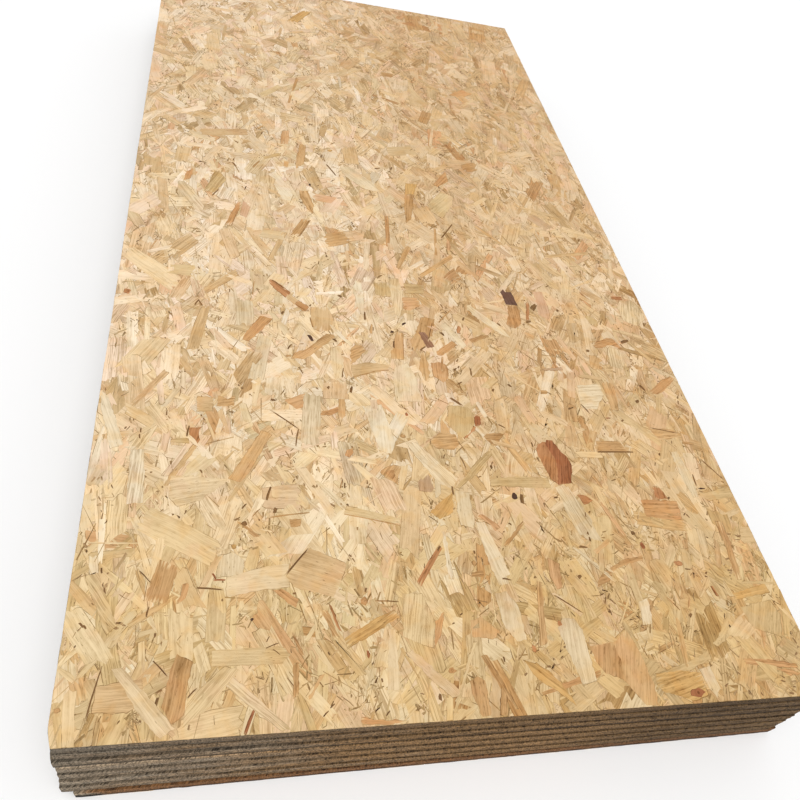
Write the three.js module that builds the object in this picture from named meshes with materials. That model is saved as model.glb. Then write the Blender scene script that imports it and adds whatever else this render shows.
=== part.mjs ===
// A stack of eight square-edged oriented strand board (OSB) sheets, laid flat by hand.
// Millimetres, +Z up. Each sheet's width runs along X and its length along Y.
// The origin is the middle of the stack's footprint, on the underside of the lowest sheet.

import * as THREE from "three";

// One full sheet
const sheetWidth = 1220;
const sheetLength = 2440;
const sheetThickness = 25;

// What sawing and handling leave on every sheet
const soundCornerSetback = 2.5; // how far each sound corner is rubbed back along both edges
const arrisWear = 0.8; // how far the rims of both faces are rubbed away
const arrisFacets = 2; // flats that make up one worn arris
const cornerFacets = 4; // flats that make up one rubbed or broken corner

// A broken corner bulges out past the straight line between its ends.
// 0 is that straight line and 1 is a curve that heads for the old corner.
const brokenCornerBulge = 0.2;

// Loose sheets never close up fully on each other
const stackingGap = 0.3;

// The sheets from the top of the stack down. Each one's near left corner lies at (x, y) from the
// near left corner of the top sheet, and the sheet is turned about it by turnDegrees.
// A broken near left corner is set back along the sheet's width and along its length.
const sheets = [
  {
    name: "panel_1_top", x: 0, y: 0, turnDegrees: 0,
    brokenCorner: { alongWidth: 6.5, alongLength: 28 },
  },
  {
    name: "panel_2", x: -0.3, y: -1.2, turnDegrees: -0.03,
    brokenCorner: { alongWidth: 5.5, alongLength: 20 },
  },
  {
    name: "panel_3", x: -1.6, y: -4.6, turnDegrees: 0.09,
    brokenCorner: { alongWidth: 3.5, alongLength: 14 },
  },
  { name: "panel_4", x: 3.6, y: -6.4, turnDegrees: 0.14 },
  { name: "panel_5", x: 3.6, y: -8.7, turnDegrees: 0.15 },
  { name: "panel_6", x: 2.8, y: -11.5, turnDegrees: 0.21 },
  { name: "panel_7", x: 0.8, y: -14.0, turnDegrees: 0.29 },
  { name: "panel_8_bottom", x: 17.6, y: -17.4, turnDegrees: 0.49 },
];

// Weathering greys the sawn edges of the upper sheets, and the lowest one is the freshest.
const boardColours = {
  panel_1_top: 0xe3cda4,
  panel_8_bottom: 0xb08a5c,
};
const innerBoardColour = 0xc9b38c;

function boardMaterial(name) {
  return new THREE.MeshStandardMaterial({
    color: boardColours[name] ?? innerBoardColour,
    roughness: 0.85,
    metalness: 0,
  });
}

// The sheet's outline seen from above, anticlockwise from the near left corner at (0, 0)
function sheetOutline(brokenCorner) {
  const soundCorner = { alongWidth: soundCornerSetback, alongLength: soundCornerSetback };
  const nearLeft = brokenCorner ?? soundCorner;
  const pull = brokenCorner ? (1 - brokenCornerBulge) / 2 : 0;
  const farRightX = sheetWidth - soundCornerSetback;
  const farLeftY = sheetLength - soundCornerSetback;

  const outline = new THREE.Shape();
  outline.moveTo(nearLeft.alongWidth, 0);
  outline.lineTo(farRightX, 0);
  outline.quadraticCurveTo(sheetWidth, 0, sheetWidth, soundCornerSetback);
  outline.lineTo(sheetWidth, farLeftY);
  outline.quadraticCurveTo(sheetWidth, sheetLength, farRightX, sheetLength);
  outline.lineTo(soundCornerSetback, sheetLength);
  outline.quadraticCurveTo(0, sheetLength, 0, farLeftY);
  outline.lineTo(0, nearLeft.alongLength);
  outline.quadraticCurveTo(
    nearLeft.alongWidth * pull,
    nearLeft.alongLength * pull,
    nearLeft.alongWidth,
    0,
  );
  return outline;
}

// The square-cut sheet with worn arrises, its underside on z = 0
function sheetGeometry(brokenCorner) {
  const geometry = new THREE.ExtrudeGeometry(sheetOutline(brokenCorner), {
    depth: sheetThickness - 2 * arrisWear,
    curveSegments: cornerFacets,
    bevelEnabled: true,
    bevelThickness: arrisWear,
    bevelSize: arrisWear,
    bevelOffset: -arrisWear,
    bevelSegments: arrisFacets,
  });
  geometry.translate(0, 0, arrisWear);
  return geometry;
}

const stack = new THREE.Group();
sheets.forEach((sheet, index) => {
  const sheetsBelow = sheets.length - 1 - index;
  const mesh = new THREE.Mesh(sheetGeometry(sheet.brokenCorner), boardMaterial(sheet.name));
  mesh.name = sheet.name;
  mesh.position.set(sheet.x, sheet.y, sheetsBelow * (sheetThickness + stackingGap));
  mesh.rotation.z = THREE.MathUtils.degToRad(sheet.turnDegrees);
  stack.add(mesh);
});

// Put the middle of the footprint on the origin
const footprint = new THREE.Box3().setFromObject(stack, true);
const middle = footprint.getCenter(new THREE.Vector3());
stack.position.set(-middle.x, -middle.y, 0);

export default stack;
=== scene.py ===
import math

import bpy
import numpy as np
from mathutils import Matrix, Vector
from mathutils.geometry import convex_hull_2d


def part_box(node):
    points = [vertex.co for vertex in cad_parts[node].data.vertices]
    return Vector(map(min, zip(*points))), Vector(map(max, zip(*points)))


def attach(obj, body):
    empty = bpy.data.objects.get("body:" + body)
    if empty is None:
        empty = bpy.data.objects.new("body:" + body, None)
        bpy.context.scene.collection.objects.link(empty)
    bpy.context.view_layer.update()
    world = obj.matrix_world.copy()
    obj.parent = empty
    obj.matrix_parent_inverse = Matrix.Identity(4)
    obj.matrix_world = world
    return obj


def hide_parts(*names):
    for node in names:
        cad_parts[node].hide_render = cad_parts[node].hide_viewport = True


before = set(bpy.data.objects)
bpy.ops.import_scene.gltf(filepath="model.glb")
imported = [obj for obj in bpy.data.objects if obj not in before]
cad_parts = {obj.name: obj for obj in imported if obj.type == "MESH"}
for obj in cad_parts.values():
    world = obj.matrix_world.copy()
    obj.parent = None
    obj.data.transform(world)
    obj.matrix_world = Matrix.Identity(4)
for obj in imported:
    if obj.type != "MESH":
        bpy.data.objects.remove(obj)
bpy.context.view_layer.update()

# A stack of oriented strand board sheets. The CAD holds each sheet's size and place. Here each
# sheet gets its sawn edge of strand ends, and the two outer faces get their pressed strands.
# Lengths are in metres unless a name or a comment says otherwise.

MM = 0.001
SEED = 20261
rng = np.random.default_rng(SEED)

# Sheets from the top of the stack down, by height
SHEETS = sorted(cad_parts, key=lambda name: -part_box(name)[0][2])
TOP_SHEET = SHEETS[0]
BOTTOM_SHEET = SHEETS[-1]
OUTER_SLOTS = {TOP_SHEET: "top_board", BOTTOM_SHEET: "bottom_board"}

# ---------------------------------------------------------------- colours

STUDIO_LIGHT = 1.08


def linear(red, green, blue):
    """Scene-linear colour from 0 to 255 display values."""
    srgb = np.array([red, green, blue]) / 255.0
    return np.where(srgb <= 0.04045, srgb / 12.92, ((srgb + 0.055) / 1.055) ** 2.4)


def wood(red, green, blue):
    """The paint for wood that shows as these display values in the studio's light."""
    return linear(red, green, blue) / STUDIO_LIGHT


# Strand colours of pine and poplar
TINTS = {
    "white": wood(244, 224, 190),
    "pale": wood(241, 217, 178),
    "cream": wood(238, 210, 166),
    "straw": wood(234, 204, 154),
    "pink": wood(238, 207, 168),
    "peach": wood(233, 198, 154),
    "olive": wood(227, 197, 147),
    "tan": wood(224, 188, 138),
    "moss": wood(217, 184, 131),
    "bone": wood(233, 208, 167),
    "blush": wood(233, 201, 157),
    "honey": wood(219, 176, 122),
    "orange": wood(222, 175, 124),
    "gold": wood(214, 170, 106),
    "clay": wood(210, 160, 106),
    "dun": wood(204, 168, 130),
    "brown": wood(202, 158, 105),
    "russet": wood(192, 135, 87),
    "rust": wood(170, 107, 66),
    "rose": wood(224, 181, 142),
    "taupe": wood(160, 118, 90),
    "umber": wood(136, 99, 57),
    "soot": wood(112, 80, 64),
    "black": wood(84, 56, 40),
}
# How often each of the common ones comes up
COMMON = {"white": 0.01, "pale": 0.14, "cream": 0.35, "straw": 0.22, "pink": 0.06, "peach": 0.08,
          "olive": 0.04, "tan": 0.06, "orange": 0.010, "brown": 0.006}
COMMON_NAMES = list(COMMON)
COMMON_SHARES = np.array(list(COMMON.values())) / sum(COMMON.values())

# Painted reflection: the grey that the edges take toward the stack's left end stands for the sky's light
EDGE_SKY_GREY = wood(135, 122, 104)
EDGE_BROWN = wood(131, 101, 66)
EDGE_DARK_BROWN = wood(110, 86, 57)
EDGE_ORANGE = wood(120, 84, 52)
CRUMB_BROWN = wood(150, 104, 64)
FINES_TAN = wood(226, 194, 146)
FINES_PALE = wood(236, 208, 164)
FLOOR_SHADES = ((0.965, 0.965, 0.965), (0.98, 0.98, 0.98))

# What a stain leaves of each colour
RESIN_STAIN = (1.0, 0.92, 0.79)
FLUSH_STAIN = (1.0, 0.95, 0.95)
RING_STAIN = (0.67, 0.61, 0.52)
FLECK_STAIN = (0.35, 0.28, 0.17)
# The cut line is resin and torn fibre, and partly painted shade in the cracks between strands
CUT_STAIN_AND_SHADE = (0.40, 0.32, 0.20)

# ---------------------------------------------------------------- node helpers


class Nodes:
    """A small helper that adds and links shader nodes."""

    def __init__(self, name):
        self.material = bpy.data.materials.new(name)
        self.material.use_nodes = True
        self.tree = self.material.node_tree
        self.tree.nodes.clear()
        self.surface = self.tree.nodes.new("ShaderNodeBsdfPrincipled")
        output = self.tree.nodes.new("ShaderNodeOutputMaterial")
        self.tree.links.new(self.surface.outputs[0], output.inputs["Surface"])

    def put(self, value, socket):
        if isinstance(value, bpy.types.NodeSocket):
            self.tree.links.new(value, socket)
        else:
            socket.default_value = value

    def attribute(self, name, output="Vector"):
        node = self.tree.nodes.new("ShaderNodeAttribute")
        node.attribute_name = name
        return node.outputs[output]

    def position(self):
        """The place on the piece in metres."""
        return self.tree.nodes.new("ShaderNodeTexCoord").outputs["Object"]

    def split(self, vector):
        node = self.tree.nodes.new("ShaderNodeSeparateXYZ")
        self.put(vector, node.inputs[0])
        return node.outputs[0], node.outputs[1], node.outputs[2]

    def join(self, x, y, z):
        node = self.tree.nodes.new("ShaderNodeCombineXYZ")
        for value, socket in zip((x, y, z), node.inputs):
            self.put(value, socket)
        return node.outputs[0]

    def math(self, operation, *values):
        node = self.tree.nodes.new("ShaderNodeMath")
        node.operation = operation
        for value, socket in zip(values, node.inputs):
            self.put(value, socket)
        return node.outputs[0]

    def add(self, first, second):
        return self.math("ADD", first, second)

    def subtract(self, first, second):
        return self.math("SUBTRACT", first, second)

    def multiply(self, first, second):
        return self.math("MULTIPLY", first, second)

    def hold_back(self, light, slope, offset):
        """The light, or this slope of it with the offset added where that is less."""
        return self.math("MINIMUM", light, self.math("MULTIPLY_ADD", light, slope, offset))

    def noise(self, vector, scale=1.0, detail=2.0, roughness=0.5, distortion=0.0):
        node = self.tree.nodes.new("ShaderNodeTexNoise")
        self.put(vector, node.inputs["Vector"])
        node.inputs["Scale"].default_value = scale
        node.inputs["Detail"].default_value = detail
        node.inputs["Roughness"].default_value = roughness
        node.inputs["Distortion"].default_value = distortion
        return node.outputs["Fac"]

    def stretched_noise(self, first, second, third, scales, **look):
        """Noise with a scale of its own along each of the first two directions."""
        x = self.multiply(first, scales[0])
        y = self.multiply(second, scales[1])
        return self.noise(self.join(x, y, third), **look)

    def random(self, value):
        node = self.tree.nodes.new("ShaderNodeTexWhiteNoise")
        node.noise_dimensions = "1D"
        self.put(value, node.inputs["W"])
        return node.outputs["Value"]

    def ramp(self, value, low, high, to_low=0.0, to_high=1.0):
        node = self.tree.nodes.new("ShaderNodeMapRange")
        node.interpolation_type = "SMOOTHSTEP"
        for item, socket in zip((value, low, high, to_low, to_high), node.inputs):
            self.put(item, socket)
        return node.outputs[0]

    def mix(self, factor, first, second, blend="MIX"):
        node = self.tree.nodes.new("ShaderNodeMix")
        node.data_type = "RGBA"
        node.blend_type = blend
        self.put(factor, node.inputs[0])
        for value, socket in ((first, node.inputs[6]), (second, node.inputs[7])):
            self.put(value if isinstance(value, bpy.types.NodeSocket) else (*value, 1.0), socket)
        return node.outputs[2]

    def stain(self, factor, colour, left):
        """The colour with a stain on it that leaves this much of each channel."""
        return self.mix(factor, colour, self.mix(1.0, colour, left, "MULTIPLY"))

    def scale_colour(self, colour, factor):
        node = self.tree.nodes.new("ShaderNodeVectorMath")
        node.operation = "SCALE"
        self.put(colour, node.inputs[0])
        self.put(factor, node.inputs["Scale"])
        return node.outputs[0]

    def shade(self, colour, light):
        """The colour made lighter or darker. A darker one is also yellower, as wood is."""
        node = self.tree.nodes.new("ShaderNodeVectorMath")
        node.operation = "MULTIPLY"
        green = self.math("MULTIPLY_ADD", light, 1.16, -0.16)
        blue = self.math("MULTIPLY_ADD", light, 1.47, -0.47)
        self.put(colour, node.inputs[0])
        self.put(self.join(light, green, blue), node.inputs[1])
        return node.outputs[0]

    def bump(self, height, distance, strength):
        node = self.tree.nodes.new("ShaderNodeBump")
        self.put(height, node.inputs["Height"])
        node.inputs["Distance"].default_value = distance
        node.inputs["Strength"].default_value = strength
        self.tree.links.new(node.outputs[0], self.surface.inputs["Normal"])

    def finish(self, colour, roughness):
        self.put(colour, self.surface.inputs["Base Color"])
        self.put(roughness, self.surface.inputs["Roughness"])
        return self.material


# ---------------------------------------------------------------- the strands' material


class StrandNodes(Nodes):
    """What the shader knows of each strand, and noise that follows its grain."""

    def __init__(self):
        super().__init__("pressed_strands")
        self.along, self.across, self.seed = self.split(self.attribute("strand_place"))
        self.half_length, self.half_width, self.knot = self.split(self.attribute("strand_size"))
        self.tint = self.attribute("strand_tint", "Color")
        self.ground = self.attribute("strand_ground", "Color")
        self.rim = self.attribute("strand_rim", "Fac")
        self.place = self.position()
        self.far = self.multiply(self.seed, 61.7)
        self.grain = self.grain_distance()

    def grain_distance(self):
        """The distance across the grain. A knot's rings run round its middle, and a strand's grain
        runs along it with a little sway."""
        squares = [self.multiply(side, side) for side in (self.along, self.across)]
        radius = self.math("SQRT", self.add(*squares))
        straight = self.multiply(self.across, self.subtract(1.0, self.knot))
        grain = self.add(straight, self.multiply(radius, self.knot))
        sway = self.subtract(self.strand_noise(14.0, 30.0), 0.5)
        return self.add(grain, self.multiply(sway, 0.009))

    def strand_noise(self, along_scale, across_scale, **look):
        scales = (along_scale, across_scale)
        return self.stretched_noise(self.along, self.across, self.far, scales, **look)

    def grain_noise(self, along_scale, grain_scale, shift=0.0, **look):
        scales = (along_scale, grain_scale)
        third = self.add(self.far, shift)
        return self.stretched_noise(self.along, self.grain, third, scales, **look)

    def own(self, shift, *limits):
        """A random value that belongs to the whole strand."""
        return self.ramp(self.random(self.add(self.seed, shift)), *limits)

    def end_share(self):
        """0 at the middle of the strand, and 1 and -1 at its ends."""
        return self.math("DIVIDE", self.along, self.half_length)

    def side_share(self):
        """0 along the middle of the strand, and 1 and -1 along its sides."""
        return self.math("DIVIDE", self.across, self.half_width)


def growth_rings(nodes):
    """Growth rings as thin lines, and how dark each strand's are where they haven't faded."""
    rings = nodes.grain_noise(5.0, 240.0, 9.0, detail=1.5)
    from_ring = nodes.math("ABSOLUTE", nodes.subtract(rings, 0.5))
    line = nodes.ramp(from_ring, 0.02, 0.085, 1.0, 0.0)
    fading = nodes.ramp(nodes.strand_noise(45.0, 160.0, detail=1.0), 0.34, 0.54, 0.25, 1.0)
    return line, nodes.multiply(nodes.own(3.1, 0.3, 1.0, 0.12, 1.0), fading)


def resin_flecks(nodes):
    """Small dark flecks that come in patches of the board."""
    flecks = nodes.ramp(nodes.strand_noise(100.0, 560.0, detail=1.0), 0.67, 0.75)
    patches = nodes.ramp(nodes.noise(nodes.place, scale=27.0, detail=1.0), 0.45, 0.6, 0.0, 0.8)
    return nodes.multiply(flecks, patches)


def wood_figure(nodes, fibre):
    """How much fibres, streaks and mottle lighten or darken the wood. Dark wood shows them most."""
    streak = nodes.grain_noise(9.0, 230.0, roughness=0.6)
    mottle = nodes.grain_noise(75.0, 210.0, 3.0, detail=3.0, roughness=0.65)
    figure = nodes.ramp(fibre, 0.28, 0.72, -0.07, 0.07)
    figure = nodes.add(figure, nodes.ramp(streak, 0.26, 0.66, -0.095, 0.075))
    figure = nodes.add(figure, nodes.ramp(mottle, 0.50, 0.76, 0.03, -0.12))
    _, _, blue = nodes.split(nodes.tint)
    return nodes.multiply(figure, nodes.ramp(blue, 0.05, 0.26, 3.0, 1.0))


def strand_light(nodes, fibre):
    """How light each spot is. It drifts over the board, and each strand has painted shade as if it tilted
    to or from the light.
    """
    drift = nodes.noise(nodes.place, scale=21.0, detail=3.0, roughness=0.6)
    # Painted shade: each strand lighter toward one end and side, darker toward the other
    end_shade = nodes.multiply(nodes.end_share(), nodes.own(17.9, 0.0, 1.0, -0.1, 0.1))
    roll = nodes.multiply(nodes.side_share(), nodes.own(23.3, 0.0, 1.0, -0.08, 0.08))
    light = nodes.add(nodes.ramp(drift, 0.3, 0.7, 0.87, 1.06), nodes.add(end_shade, roll))
    light = nodes.hold_back(light, 0.45, 0.535)
    light = nodes.add(light, wood_figure(nodes, fibre))
    return nodes.hold_back(light, 0.65, 0.35)


def frayed_ends(nodes):
    """The ends fray into thin fingers, and the ground shows between them."""
    fingers = nodes.subtract(nodes.grain_noise(22.0, 380.0, 5.0), 0.5)
    from_middle = nodes.math("ABSOLUTE", nodes.end_share())
    reach = nodes.add(from_middle, nodes.multiply(fingers, 1.4))
    frayed = nodes.ramp(reach, 0.75, 1.0, 0.0, nodes.own(31.7, 0.1, 0.8, 0.0, 0.9))
    return nodes.multiply(frayed, nodes.subtract(1.0, nodes.knot))


def board_stains(nodes, colour):
    """Colour drifts over the board, as the strands took up more or less resin in the press."""
    warmth = nodes.noise(nodes.place, scale=30.0, roughness=0.6, distortion=0.4)
    flush = nodes.noise(nodes.place, scale=19.0, roughness=0.6)
    colour = nodes.stain(nodes.ramp(warmth, 0.42, 0.70, 0.0, 0.9), colour, RESIN_STAIN)
    return nodes.stain(nodes.ramp(flush, 0.50, 0.68), colour, FLUSH_STAIN)


def cut_lines(nodes):
    """A thin broken line along each cut side and end, darker on some than on others: resin and torn fibre,
    with painted shade where strands meet.
    """
    end = nodes.multiply(nodes.math("SIGN", nodes.along), 2.3)
    side = nodes.add(nodes.math("SIGN", nodes.across), end)
    depth = nodes.random(nodes.add(nodes.add(nodes.seed, 11.3), side))
    start = nodes.ramp(nodes.strand_noise(60.0, 60.0), 0.32, 0.60, 0.85, 0.0)
    line = nodes.ramp(nodes.rim, start, nodes.add(start, 0.35))
    return nodes.multiply(line, nodes.ramp(depth, 0.2, 1.0, 0.06, 1.0))


def strand_material():
    """Wood strands: fibres, growth rings, knots, frayed ends and a thin dark line at cut edges."""
    nodes = StrandNodes()
    fibre = nodes.grain_noise(24.0, 700.0, detail=3.0, roughness=0.6)
    ring_line, ring_depth = growth_rings(nodes)
    colour = nodes.mix(frayed_ends(nodes), nodes.tint, nodes.ground)
    colour = nodes.shade(colour, strand_light(nodes, fibre))
    colour = board_stains(nodes, colour)
    colour = nodes.stain(nodes.multiply(ring_line, ring_depth), colour, RING_STAIN)
    colour = nodes.stain(resin_flecks(nodes), colour, FLECK_STAIN)
    colour = nodes.stain(cut_lines(nodes), colour, CUT_STAIN_AND_SHADE)
    height = nodes.subtract(fibre, nodes.multiply(ring_line, 0.3))
    nodes.bump(height, 0.4 * MM, 0.35)
    nodes.surface.inputs["Specular IOR Level"].default_value = 0.3
    return nodes.finish(colour, nodes.ramp(fibre, 0.2, 0.8, 0.75, 0.6))


# ---------------------------------------------------------------- the other materials


def bare_face_material():
    """The board's face between and under the strands: pale bonded fines with brown crumbs."""
    nodes = Nodes("bonded_fines")
    place = nodes.position()
    crumbs = nodes.noise(place, scale=420.0, detail=4.0, roughness=0.7)
    patches = nodes.noise(place, scale=38.0)
    colour = nodes.mix(nodes.ramp(crumbs, 0.30, 0.52), CRUMB_BROWN, FINES_TAN)
    colour = nodes.mix(nodes.ramp(patches, 0.45, 0.7, 0.0, 0.5), colour, FINES_PALE)
    nodes.bump(crumbs, 0.6 * MM, 0.5)
    return nodes.finish(colour, 0.85)


def edge_colour(nodes, blotches, warm):
    """Grey at the stack's left end, a painted reflection of the sky, and brown further right. A warm edge
    is orange past that end.
    """
    side, _, _ = nodes.split(nodes.position())
    drift = nodes.multiply(nodes.subtract(blotches, 0.5), 0.8)
    place = nodes.add(side, drift)
    brown_to_right = nodes.mix(nodes.ramp(place, 0.0, 0.65), EDGE_BROWN, EDGE_DARK_BROWN)
    # Painted reflection of the sky: grey toward the stack's left end
    painted_sky_grey = nodes.mix(nodes.ramp(place, -0.7, -0.05), EDGE_SKY_GREY, brown_to_right)
    reach = nodes.add(side, nodes.multiply(drift, 0.15))
    return nodes.mix(nodes.ramp(reach, -0.585, -0.545, 0.0, warm), painted_sky_grey, EDGE_ORANGE)


def edge_material(name, warm):
    """A sawn edge: strand ends in thin courses."""
    nodes = Nodes(name)
    run, height, sheet = nodes.split(nodes.attribute("edge_place"))
    far = nodes.multiply(sheet, 17.3)
    courses = nodes.stretched_noise(run, height, far, (26.0, 780.0), detail=3.0, roughness=0.6)
    ends = nodes.stretched_noise(run, height, far, (330.0, 260.0), detail=3.0, roughness=0.75)
    blotches = nodes.stretched_noise(run, height, far, (9.0, 60.0), detail=3.0)
    grit = nodes.add(nodes.multiply(courses, 0.2), nodes.multiply(ends, 0.8))
    grit = nodes.ramp(grit, 0.35, 0.65, 0.22, 1.97)
    tone = nodes.multiply(nodes.attribute("edge_tone_and_shade", "Fac"), grit)
    nodes.bump(nodes.add(courses, ends), 0.8 * MM, 0.6)
    nodes.surface.inputs["Specular IOR Level"].default_value = 0.2
    return nodes.finish(nodes.scale_colour(edge_colour(nodes, blotches, warm), tone), 0.88)


def floor_material():
    nodes = Nodes("studio_floor")
    return nodes.finish(nodes.mix(nodes.noise(nodes.position(), scale=0.6), *FLOOR_SHADES), 0.9)


STRANDS = strand_material()
BARE_FACE = bare_face_material()

# ---------------------------------------------------------------- mesh helpers


def make_mesh(name, vertices, faces, materials):
    mesh = bpy.data.meshes.new(name)
    mesh.from_pydata(vertices, [], faces)
    mesh.update()
    for material in materials:
        mesh.materials.append(material)
    piece = bpy.data.objects.new(name, mesh)
    bpy.context.scene.collection.objects.link(piece)
    return piece


def point_data(mesh, name, kind, values):
    attribute = mesh.attributes.new(name, kind, "POINT")
    key = {"FLOAT": "value", "FLOAT_VECTOR": "vector", "FLOAT_COLOR": "color"}[kind]
    attribute.data.foreach_set(key, np.asarray(values, dtype=np.float32).ravel())


# ---------------------------------------------------------------- outlines in plan

WALK_STEP = 8.0 * MM


def double_area(outline):
    """Twice the outline's area, which is negative for a clockwise one."""
    x, y = outline[:, 0], outline[:, 1]
    return np.sum(x * np.roll(y, -1) - np.roll(x, -1) * y)


def sheet_hull(name):
    """The sheet's outline in plan, anticlockwise, from the CAD node's own corners."""
    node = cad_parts[name]
    points = [(node.matrix_world @ v.co).to_2d() for v in node.data.vertices]
    hull = np.array([points[i] for i in convex_hull_2d(points)])
    return hull if double_area(hull) > 0 else hull[::-1]


def shrink(outline, by):
    """The outline drawn in toward its middle, by this much at its sides."""
    middle = (outline.min(axis=0) + outline.max(axis=0)) / 2
    reach = (outline.max(axis=0) - outline.min(axis=0)) / 2
    return middle + (outline - middle) * (1.0 - by / reach)


def sides_of(outline):
    """Each side of the outline as its two ends."""
    return zip(outline, np.roll(outline, -1, axis=0))


def walk_outline(hull):
    """Points every few millimetres round the outline, with outward normals and distances run."""
    parts = []
    for a, b in sides_of(hull):
        steps = max(1, round(np.linalg.norm(b - a) / WALK_STEP))
        parts.append(a + (b - a) * np.arange(steps)[:, None] / steps)
    points = np.concatenate(parts)
    tangent = np.roll(points, -1, axis=0) - np.roll(points, 1, axis=0)
    tangent /= np.linalg.norm(tangent, axis=1)[:, None]
    normal = np.stack([tangent[:, 1], -tangent[:, 0]], axis=1)
    run = np.concatenate([[0.0], np.cumsum(np.linalg.norm(np.diff(points, axis=0), axis=1))])
    return points, normal, run


def inside(polygon, x, y):
    """Which of the points lie inside the polygon."""
    found = np.zeros(np.shape(x), dtype=bool)
    for (ax, ay), (bx, by) in sides_of(polygon):
        if ay != by:
            found ^= ((ay > y) != (by > y)) & (x < (bx - ax) * (y - ay) / (by - ay) + ax)
    return found


def cut_by_line(polygon, a, b):
    """The part of the polygon to the left of the line from a to b."""
    edge = b - a
    side = edge[0] * (polygon[:, 1] - a[1]) - edge[1] * (polygon[:, 0] - a[0])
    kept = []
    for k in range(len(polygon)):
        p, q = polygon[k - 1], polygon[k]
        if (side[k - 1] >= 0) != (side[k] >= 0):
            kept.append(p + (q - p) * side[k - 1] / (side[k - 1] - side[k]))
        if side[k] >= 0:
            kept.append(q)
    return np.array(kept)


def clip_to_hull(polygon, hull):
    """The part of the polygon inside the convex outline, or None if nothing is left of it."""
    for a, b in sides_of(hull):
        polygon = cut_by_line(polygon, a, b)
        if len(polygon) < 3:
            return None
    return polygon


# ---------------------------------------------------------------- sheets with sawn edges

EDGE_COURSES = 13
ARRIS = 0.8 * MM
ARRIS_SPREAD = 0.15 * MM
COURSE_SPREAD = 0.12 * MM
SHEET_RIM = 8.0 * MM  # width of the strip round each face, which inside the stack has the edge's colour and the ledge's painted shade
FACE_DROP = 0.35 * MM  # how far the bonded fines lie under the strands' mean surface

# Strand ends: how far they stand out, their tone, and the voids where one has broken out, which are
# darkened with painted shade
END_RELIEF = 0.2 * MM
END_TONE_SPREAD = 0.10
END_LONGEST = 3
VOID_SHARE = 0.03
VOID_DEPTHS = (0.8, 2.4)  # millimetres
VOID_SHADES = (0.3, 0.5)
TONE_LIMITS = (0.25, 1.5)

# Tone up one edge, from its lower arris to its upper one, with painted shade at both arrises where
# the sheets meet, then by sheet from the top of the stack
EDGE_STOPS = [0.0, 0.06, 0.2, 0.5, 0.85, 0.97, 1.0]
EDGE_ARRIS_SHADE = [0.42, 0.58, 0.86, 1.03, 1.08, 0.9, 0.62]
SHEET_TONE = [0.70, 0.76, 0.85, 1.0, 0.93, 1.0, 0.92, 0.99]
# The edges darken toward the right end of the stack
RIGHT_END = [0.19, 0.33, 0.45, 0.56]
RIGHT_END_TONE = [1.0, 0.72, 0.74, 0.84]
# How far up the painted shade over each lower arris reaches, and its tone by sheet: painted shadow
# over the joint under the third sheet, and over the floor under the lowest
FOOT_SHADE_STOPS = [0.0, 0.2, 0.42]
FOOT_SHADE = [1.0, 1.0, 0.5, 1.0, 1.0, 1.0, 1.0, 0.43]
# Tone of the ledge where a sheet stands out under the one above it, left and right of these places:
# painted shade on most ledges, and a painted highlight on the fourth sheet's at the left
LEDGE_STOPS = [-0.35, -0.1]
LEFT_LEDGE_SHADE_AND_HIGHLIGHT = [0.6, 0.45, 0.42, 1.4, 0.5, 0.6, 0.55, 0.7]
RIGHT_LEDGE_SHADE = [0.6, 0.45, 0.38, 0.38, 0.38, 0.42, 0.38, 0.5]
# The lowest sheet's edge is dark below, with painted shadow, and light above at its near left corner,
# and along the near half of its left side
CORNER_SHADOW_LENGTH = 62.0 * MM
CORNER_SHADOW_STOPS = [0.0, 0.4, 0.55, 1.0]
CORNER_SHADOW_TONE = [0.06, 0.12, 1.25, 1.3]


def strand_ends(columns, courses):
    """How far each strand end stands out along the edge, and how light it is. Voids get painted shade."""
    relief = np.zeros((columns, courses))
    tone = np.ones((columns, courses))
    for course in range(courses):
        start = 0
        while start < columns:
            run = int(rng.integers(1, END_LONGEST + 1))
            span = slice(start, start + run)
            relief[span, course] = rng.normal(0.0, END_RELIEF)
            tone[span, course] = rng.normal(1.0, END_TONE_SPREAD)
            if rng.random() < VOID_SHARE:
                relief[span, course] = -rng.uniform(*VOID_DEPTHS) * MM
                tone[span, course] = rng.uniform(*VOID_SHADES)
            start += run
    return relief, np.clip(tone, *TONE_LIMITS)


def edge_heights(name):
    """Heights of the rows of points, from the ring inside the underside's rim to the one inside the
    top face's. The stack's outer faces lie a little deeper, under their strands."""
    low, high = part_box(name)
    foot = low[2] + FACE_DROP * (name == BOTTOM_SHEET)
    head = high[2] - FACE_DROP * (name == TOP_SHEET)
    courses = np.linspace(low[2] + ARRIS, high[2] - ARRIS, EDGE_COURSES)
    return np.concatenate([[foot, foot], courses, [head, head]])


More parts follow.
